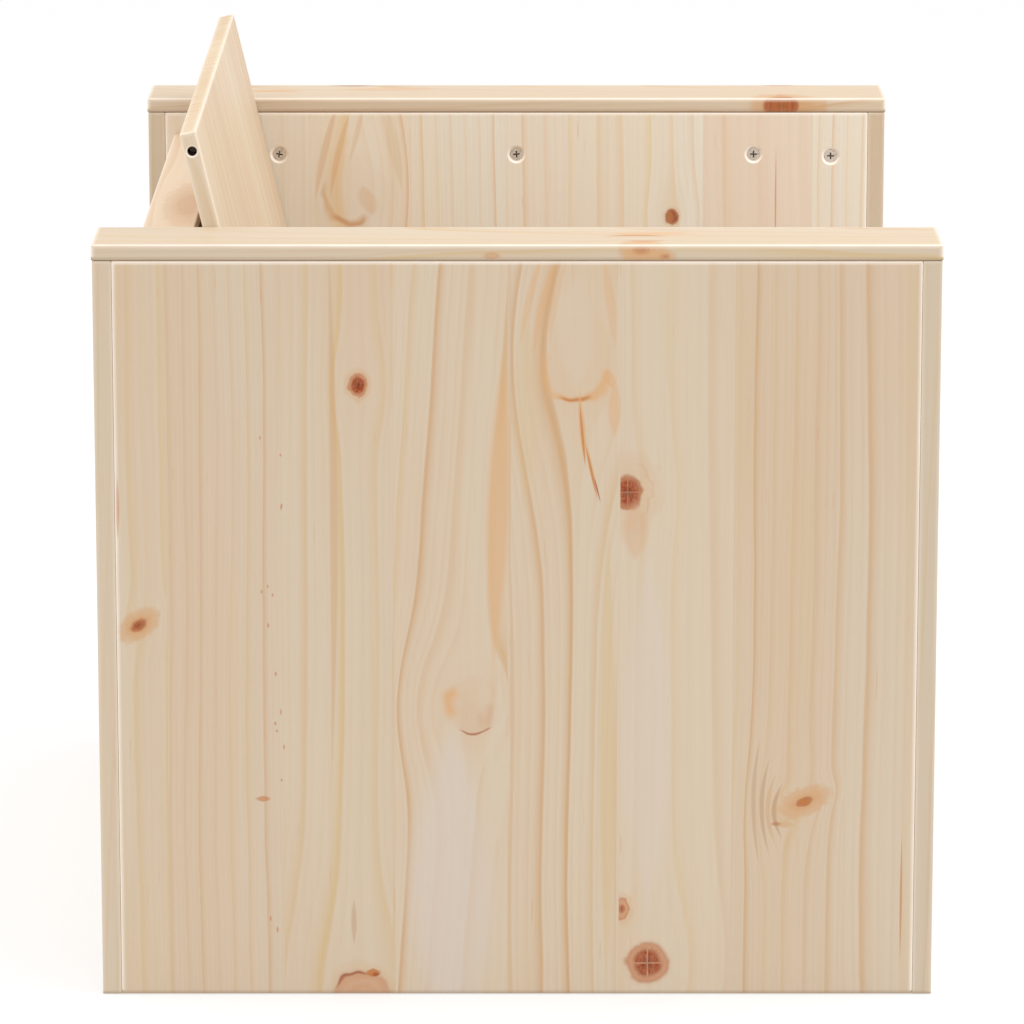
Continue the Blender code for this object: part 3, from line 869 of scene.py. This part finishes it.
def write_attributes(mesh, size, radius, axes, offset, holes, shaded_foot):
    """Stores wood and wear on a board's mesh, which is centred on its middle. axes are the indices of the
    across, along and depth directions, and offset is added to wood. holes are (axis, place, radius)."""
    places = np.array([vert.co for vert in mesh.vertices])
    store(mesh, "wood", "POINT", places[:, list(axes)] + np.array(offset))
    inset = np.array(size) / 2 - np.abs(places)
    nearest = np.sort(inset, axis=1)
    edge = np.sqrt(np.clip(1.0 - nearest[:, 1] / (radius + EDGE_GLOW), 0.0, 1.0))
    end = np.clip(1.0 - inset[:, axes[1]] / (radius * 0.5), 0.0, 1.0)
    corners = np.array([loop.vertex_index for loop in mesh.loops])
    # Lower edges are marked -1, for painted shade
    if shaded_foot:
        below = (places[:, Z] + size[Z] / 2 < radius * 1.02) & (edge > 0.0)
        edge[below] = -edge[below]
    wear_and_painted_light = np.zeros((len(corners), 3))
    wear_and_painted_light[:, 0] = edge[corners]
    wear_and_painted_light[:, 1] = end[corners]
    # Hole mouths are marked 1, for fresh wood and a painted highlight, and bores -1, for painted shade
    for face in mesh.polygons:
        for axis, place, reach in holes:
            away = math.hypot(*(face.center[other] - place[other] for other in range(3) if other != axis))
            tilt = abs(face.normal[axis])
            if away < reach and tilt < FLAT_TILT:
                wear_and_painted_light[corners_of(face)] = (0.0, 0.0, 1.0 if tilt > MOUTH_TILT else -1.0)
    store(mesh, "wear_and_painted_light", "CORNER", wear_and_painted_light)


def stand_in(node, name, mesh, material, body):
    """Adds a mesh as the visible form of a CAD node."""
    mesh.materials.clear()
    mesh.materials.append(material)
    piece = add_object(name, mesh)
    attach(piece, body)
    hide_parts(node)


def make_board(node, axes, material, body="frame", radius=EDGE_RADIUS, drilled=((), ()), place=None):
    """A finished board on the place of a CAD node. drilled holds the cutters and hole marks of its holes,
    placed from place's origin, or else from the box's."""
    to_box = place or Matrix.Identity(4)
    to_board = to_box.inverted()
    points = np.array([to_board @ vert.co for vert in frame["nodes"][node].data.vertices])
    low, high = points.min(axis=0), points.max(axis=0)
    middle = Vector((low + high) / 2)
    size = tuple(high - low + 2 * OVERSIZE)
    name = f"{node}_board"
    mesh = rounded_board_mesh(name, size, radius, sum(map(ord, node)))
    cutters, holes = drilled
    if cutters:
        mesh = cut_away(mesh, [(cutter, Vector(spot) - middle) for cutter, spot in cutters])
        mesh.name = name
    local_holes = [(axis, Vector(spot) - middle, reach) for axis, spot, reach in holes]
    offset = [middle[axis] for axis in axes]
    # Boards that stand on the floor, and the top rails, get painted shade on their lower edges
    shaded_foot = low[Z] < FOOT_HEIGHT or node.endswith("top_rail")
    write_attributes(mesh, size, radius, axes, offset, local_holes, shaded_foot)
    mesh.transform(to_box @ Matrix.Translation(middle))
    shade(mesh)
    stand_in(node, name, mesh, material, body)


# ---- fasteners


def hole_mesh(name, inward, bore, mouth, depth):
    """A bore with a countersunk mouth. inward is 1 or -1, the way it goes along X."""
    profile = [(-HOLE_OVERRUN, mouth + HOLE_OVERRUN), (mouth - bore, bore), (depth, bore)]
    return turned_mesh(name, [(inward * x, radius) for x, radius in profile])


def screw_hole_mesh(inward):
    bore = SCREW_SHANK_RADIUS + SCREW_HOLE_SLACK
    mouth = SCREW_HEAD_RADIUS + SCREW_RECESS + SCREW_HOLE_SLACK
    return hole_mesh("screw_hole", inward, bore, mouth, SCREW_HOLE_DEPTH)


def pin_hole_mesh(inward, depth):
    return hole_mesh("pin_hole", inward, PIN_HOLE_RADIUS, PIN_HOLE_RADIUS + PIN_HOLE_MOUTH, depth)


def recess_bar_mesh(name, turn):
    """One bar of the cross recess, tapering to its bottom, which lies towards -X."""
    bm = bmesh.new()
    bmesh.ops.create_cube(bm, size=1.0)
    for vert in bm.verts:
        deep = vert.co.x < 0
        vert.co.x = -RECESS_DEPTH if deep else 0.001
        vert.co.y *= 2 * RECESS_ARM * (0.45 if deep else 1.15)
        vert.co.z *= RECESS_WIDTH * (0.7 if deep else 1.1)
    bmesh.ops.rotate(bm, matrix=Matrix.Rotation(turn, 3, "X"), verts=bm.verts)
    return to_mesh(bm, name)


def make_screw_mesh():
    """A countersunk screw whose head looks towards +X, its rim at the origin."""
    cone = SCREW_HEAD_RADIUS - SCREW_SHANK_RADIUS
    tip = SCREW_LENGTH - SCREW_RECESS
    profile = [
        (0.0, 0.0), (0.0, SCREW_HEAD_RADIUS - SCREW_BEVEL), (-SCREW_BEVEL, SCREW_HEAD_RADIUS),
        (-SCREW_BEVEL - cone, SCREW_SHANK_RADIUS), (-tip + SCREW_POINT, SCREW_SHANK_RADIUS),
        (-tip, 0.0004), (-tip, 0.0),
    ]
    body = turned_mesh("cross_head_screw", profile, FASTENER_SEGMENTS)
    bars = [(recess_bar_mesh(f"recess_{n}", n * math.pi / 2), (0.0, 0.0, 0.0)) for n in (0, 1)]
    mesh = cut_away(body, bars)
    # The cross recess is marked -1, for painted shade
    wear_and_painted_light = np.zeros((len(mesh.loops), 3))
    for face in mesh.polygons:
        near = math.hypot(face.center.y, face.center.z) < RECESS_ARM * 1.05
        if near and -RECESS_DEPTH * 1.05 < face.center.x < -0.00005:
            wear_and_painted_light[corners_of(face)] = (0.0, 0.0, -1.0)
    store(mesh, "wear_and_painted_light", "CORNER", wear_and_painted_light)
    shade(mesh)
    return mesh


def make_pin_mesh(half_length):
    profile = [
        (-half_length, PIN_RADIUS - PIN_BEVEL), (-half_length + PIN_BEVEL, PIN_RADIUS),
        (half_length - PIN_BEVEL, PIN_RADIUS), (half_length, PIN_RADIUS - PIN_BEVEL),
    ]
    mesh = turned_mesh("steel_pin", profile, FASTENER_SEGMENTS)
    shade(mesh)
    return mesh


# ---- the toy box

inner_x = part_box("right_inner_panel")[0].x
screw_nodes = [name for name in frame["nodes"] if "_screw_" in name]
screw_hole_meshes = {side: screw_hole_mesh(side) for side in (-1, 1)}


def screw_place(node):
    """Where a screw's axis meets the inner panel's face, and the side it is on."""
    low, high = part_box(node)
    side = 1 if low.x > 0 else -1
    return Vector((side * inner_x, (low.y + high.y) / 2, (low.z + high.z) / 2)), side


def drillings(node):
    """The cutters and hole marks for the screws and pins that go into a board of an arm."""
    low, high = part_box(node)
    cutters, holes = [], []
    for name in screw_nodes:
        place, side = screw_place(name)
        if low.y < place.y < high.y and low.z < place.z < high.z and side * low.x > 0:
            cutters.append((screw_hole_meshes[side], place))
            holes.append((X, place, SCREW_HOLE_MARK))
    if node.endswith("inner_panel"):
        side = 1 if low.x > 0 else -1
        place = Vector((side * inner_x, PIVOT.y, PIVOT.z))
        cutters.append((pin_hole_mesh(side, ARM_PIN_HOLE_DEPTH), place))
        holes.append((X, place, PIN_HOLE_MARK))
    return cutters, holes


def add_panels(label, side):
    """The arm's outer panel, and its inner panel with the screw holes and the hole for the lid's pin."""
    low, high = [corner.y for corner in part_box(f"{label}_outer_panel")]
    for place, seed, seen_side, recipe_seen, looks in (
        ("outer", 31, -1, near_panel_recipe, {"contrast": 1.2, "edge_wear_and_highlight": 1.1}),
        # The inner panels are painted paler and lighter, as painted light
        ("inner", 47, 1, far_panel_recipe, {"base": INNER_PALE, "light": 1.22, "edge_wear_and_highlight": 1.0}),
    ):
        node = f"{label}_{place}_panel"
        recipe = recipe_seen() if side == seen_side else plain_recipe(seed, high - low, 0.46, STAVE_WIDTH)
        drilled = drillings(node) if place == "inner" else ((), ())
        material = make_pine(node, recipe, low, high, **looks)
        make_board(node, (Y, Z, X), material, drilled=drilled)


def add_arm(label):
    side = 1 if label == "right" else -1
    add_panels(label, side)
    for index, place in enumerate(("front", "rear")):
        node = f"{label}_{place}_strip"
        recipe = plain_recipe(60 + index + 4 * side, 0.06, 0.45, strength=0.6)
        material = make_pine(node, recipe, light=0.95, edge_wear_and_highlight=0.3)
        make_board(node, (X, Z, Y), material, radius=STRIP_EDGE_RADIUS)
    rail = f"{label}_top_rail"
    material = make_pine(rail, rail_recipe(side), contrast=1.6, edge_wear_and_highlight=0.9)
    make_board(rail, (X, Y, Z), material, radius=RAIL_EDGE_RADIUS)
    for names, axes in (
        (("front_post", "rear_post"), (Y, Z, X)), (("upper_batten", "lower_batten"), (Z, Y, X)),
    ):
        for name in names:
            node = f"{label}_{name}"
            make_board(node, axes, batten_pine, drilled=drillings(node))


def add_walls():
    """The walls and the bottom. A wall's staves run along X, so its recipe is moved up to its height."""
    for node, seed, height in (("front_wall", 101, 0.18), ("rear_wall", 102, 0.42)):
        low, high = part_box(node)
        recipe = plain_recipe(seed, height, 0.5, STAVE_WIDTH)
        middle = (low.z + high.z) / 2
        for one in recipe["knots"]:
            one["U"] += middle
        recipe["joints"] = [joint + middle for joint in recipe["joints"]]
        make_board(node, (Z, X, Y), make_pine(node, recipe, low.z, high.z))
    low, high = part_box("bottom_panel")
    recipe = plain_recipe(103, high.y - low.y, 0.5, STAVE_WIDTH)
    make_board("bottom_panel", (Y, X, Z), make_pine("bottom_panel", recipe, low.y, high.y))


def add_cap_and_seat():
    """The rear wall's cap and the fixed board behind the hinge."""
    cap = make_recipe(
        [], [(0.34, 0.05, 0.02, 0.0065, 0.7, 1.0, 0.5, 0.35, 0.4, 0.21)],
        [knot(0.207, -0.03, 0.008, 4.5, core=0.0, body=0.15, rim=0.0, halo=0.5, reach=1.6)], [],
    )
    # The cap is painted paler and lighter, as painted light where the lid shades it
    material = make_pine("rear_cap", cap, base=CAP_PALE, light=1.3)
    make_board("rear_cap", (Y, X, Z), material, radius=RAIL_EDGE_RADIUS)
    recipe = plain_recipe(104, 0.09, 0.5)
    make_board("rear_seat_board", (Y, X, Z), make_pine("rear_seat_board", recipe))


def add_cleats():
    along_x = ["bottom_cleat_front", "bottom_cleat_rear", "rear_seat_cleat"]
    along_y = ["bottom_cleat_left", "bottom_cleat_right"]
    upright = [f"corner_cleat_{end}_{label}" for end in ("front", "rear") for label in ("left", "right")]
    for nodes, axes in ((along_x, (Y, X, Z)), (along_y, (X, Y, Z)), (upright, (X, Z, Y))):
        for node in nodes:
            make_board(node, axes, batten_pine)


def lid_recipe():
    joints = [-0.204, -0.136, -0.069, -0.001, 0.067, 0.134, 0.201]
    ranges = ((-0.3, 0.3), (0.02, 0.07), (-0.04, 0.04), (0.008, 0.014), (0.9, 1.0), (0.97, 1.03),
              (0.1, 1.0), (0.0, 0.35), (0.2, 0.6), (0.0, 1.0))
    chance = random.Random(7)
    staves = [[chance.uniform(*ends) for ends in ranges] for _ in range(len(joints) + 1)]
    return make_recipe(joints, staves, [knot(0.09, 0.12, 0.006)], [])


def add_lid():
    """The lid panel, drilled at both edges, and the pins that it turns on."""
    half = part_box("lid_panel")[1].x
    to_lid = LID_FRAME.inverted()
    heights = [(to_lid @ vert.co).z for vert in frame["nodes"]["lid_panel"].data.vertices]
    cutters, holes = [], []
    for side in (-1, 1):
        for up in (0.0, max(heights) + min(heights)):
            place = Vector((side * half, 0.0, up))
            cutters.append((pin_hole_mesh(-side, LID_PIN_HOLE_DEPTH), place))
            holes.append((X, place, PIN_HOLE_MARK))
    material = make_pine("lid_panel", lid_recipe(), -0.25, 0.25, LID_PALE, light=1.07, contrast=1.8)
    drilled = (cutters, holes)
    make_board("lid_panel", (X, Z, Y), material, "lid", RAIL_EDGE_RADIUS, drilled, LID_FRAME)
    for label in ("left", "right"):
        node = f"lid_pin_{label}"
        low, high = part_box(node)
        mesh = make_pin_mesh((high.x - low.x) / 2)
        mesh.transform(Matrix.Translation((low + high) / 2))
        stand_in(node, f"{node}_detail", mesh, pin_steel, "lid")


def add_stops():
    """The wedge blocks under the cap, kept as CAD solids with an eased edge."""
    for label in ("left", "right"):
        node = frame["nodes"][f"lid_stop_{label}"]
        node.data.materials.clear()
        node.data.materials.append(stop_pine)
        bevel = node.modifiers.new("eased_edge", "BEVEL")
        bevel.width = STOP_EDGE_RADIUS
        bevel.segments = 3
        bevel.limit_method = "ANGLE"


def add_screws():
    screw = make_screw_mesh()
    chance = random.Random(3)
    for node in screw_nodes:
        place, side = screw_place(node)
        head = place + Vector((side * SCREW_RECESS, 0.0, 0.0))
        spin = Matrix.Rotation(chance.uniform(-0.25, 0.25), 4, "X")
        facing = Matrix.Rotation(math.pi, 4, "Z") if side > 0 else Matrix.Identity(4)
        mesh = screw.copy()
        mesh.transform(Matrix.Translation(head) @ (facing @ spin))
        stand_in(node, f"{node}_detail", mesh, screw_steel, "frame")


batten_pine = make_pine("batten_pine", plain_recipe(5, 1.0, 0.5, knots=0.0), base=BATTEN_PALE)
stop_pine = object_pine(batten_pine, "stop_pine")
screw_steel = make_steel("screw_steel", (0.75, 0.68, 0.6), 0.42)
pin_steel = make_steel("pin_steel", (0.6, 0.6, 0.6), 0.28)

for arm in ("left", "right"):
    add_arm(arm)
add_walls()
add_cap_and_seat()
add_cleats()
add_lid()
add_stops()
add_screws()


# ---- studio


def add_floor():
    bm = bmesh.new()
    bmesh.ops.create_circle(bm, cap_ends=True, radius=FLOOR_RADIUS, segments=96)
    mesh = to_mesh(bm, "studio_floor")
    floor = add_object("studio_floor", mesh)
    floor.location.z = -FLOOR_DROP
    material, shader = new_material("studio_white")
    looks = {"Base Color": GREY, "Roughness": 0.95, "Specular IOR Level": 0.0, "Emission Color": WHITE}
    for name, value in {**looks, "Emission Strength": FLOOR_GLOW}.items():
        shader.inputs[name].default_value = value
    mesh.materials.append(material)


def add_light(name, place, watts):
    """A round area light that points at the middle of the box."""
    data = bpy.data.lights.new(name, "AREA")
    data.shape = "DISK"
    data.size = LIGHT_SIZE
    data.energy = watts
    light = add_object(name, data)
    light.location = place
    light.rotation_euler = (Vector(BOX_MIDDLE) - Vector(place)).to_track_quat("-Z", "Y").to_euler()


def add_studio():
    world = bpy.data.worlds.new("studio_world")
    bpy.context.scene.world = world
    world.use_nodes = True
    background = world.node_tree.nodes["Background"]
    background.inputs["Color"].default_value = WHITE
    background.inputs["Strength"].default_value = WORLD_STRENGTH
    add_light("front_overhead", (-0.3, -1.0, 1.75), 11.5)
    add_light("rear_overhead", (-0.3, 1.1, 2.1), 8.5)
    bpy.context.scene.view_settings.view_transform = "Standard"
    bpy.context.scene.view_settings.look = "None"


def add_camera():
    """The camera looks along +X from the left, a little above the arms, tilted down onto the box."""
    camera = bpy.data.cameras.new("camera")
    camera.lens = CAMERA_LENS
    camera.sensor_width = 36.0
    camera.clip_start = 0.05
    camera.clip_end = 60.0
    obj = add_object("camera", camera)
    obj.location = CAMERA_PLACE
    obj.rotation_euler = (math.pi / 2 - CAMERA_TILT, 0.0, -math.pi / 2)
    bpy.context.scene.camera = obj


add_floor()
add_studio()
add_camera()
